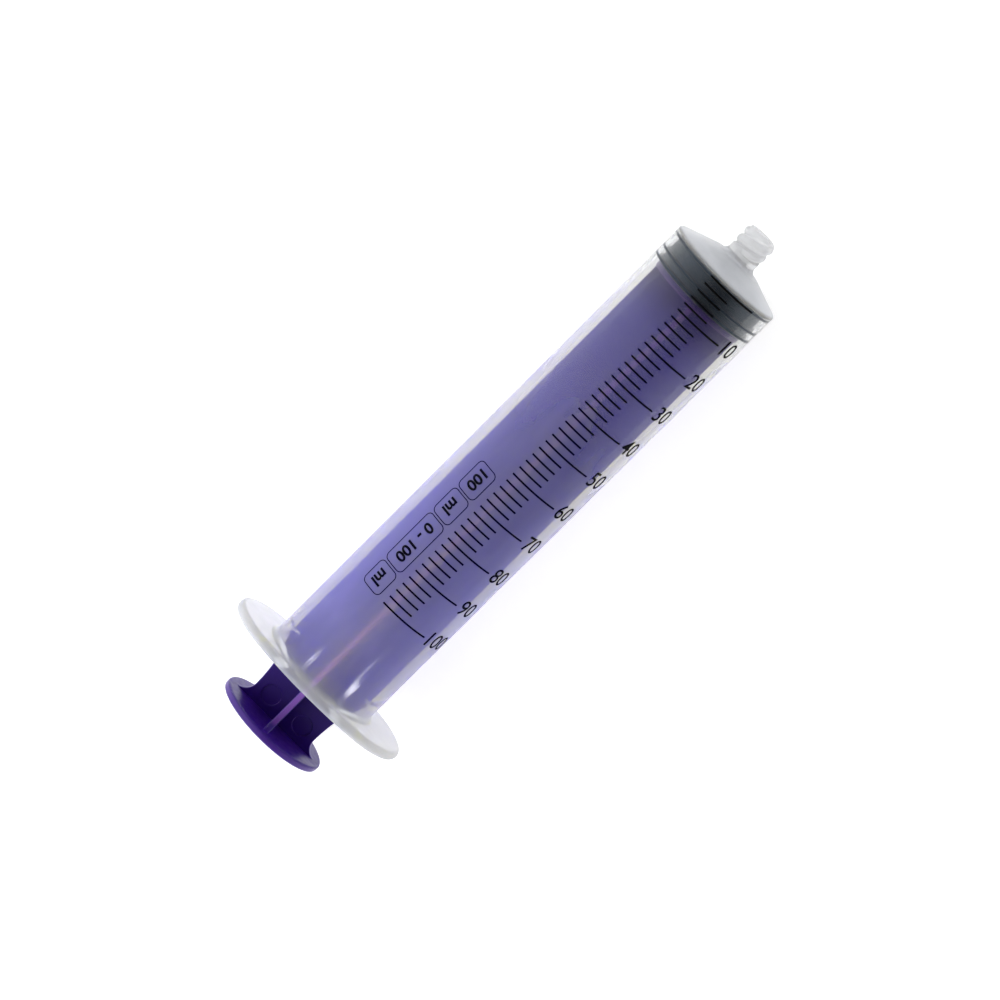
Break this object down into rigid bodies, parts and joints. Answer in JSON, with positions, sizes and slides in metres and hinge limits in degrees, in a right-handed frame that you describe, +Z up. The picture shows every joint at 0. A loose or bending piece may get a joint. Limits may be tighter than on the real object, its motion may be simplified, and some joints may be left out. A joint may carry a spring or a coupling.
{
  "type": "oral syringe",
  "caption": "Oral dosing syringe lying on its side: clear graduated barrel with oval finger flange and threaded enteral tip, rubber stopper, ribbed plunger with thumb disc.",
  "frame": {"origin": "on the surface that the syringe lies on, below the middle of its whole length with the plunger fully in; the syringe's axis is 19.1 mm above it", "axes": "+X along the barrel towards the tip, +Z up through the printed scale, the flange's wings along +Y and -Y"},
  "size_m": [0.1898, 0.0596, 0.0382],
  "materials": {
    "clear_plastic": "milky translucent polypropylene, smooth moulded gloss",
    "stopper_rubber": "slate grey rubber, silicone-oiled satin",
    "purple_plastic": "deep purple polypropylene, satin moulded",
    "black_ink": "black screen-printed ink"
  },
  "bodies": {
    "barrel": {"barrel": "clear_plastic", "scale_major_lines": "black_ink", "scale_minor_lines": "black_ink"},
    "stopper": {"stopper": "stopper_rubber"},
    "plunger": {"plunger_rod": "purple_plastic"}
  },
  "joints": [
    {"name": "plunger_slide", "type": "slide", "parent": "barrel", "child": "stopper", "axis": [-1, 0, 0], "range_m": [0, 0.138]},
    {"name": "plunger_turn", "type": "hinge", "parent": "stopper", "child": "plunger", "pos_m": [0, 0, 0.0191], "axis": [1, 0, 0], "continuous": true}
  ]
}
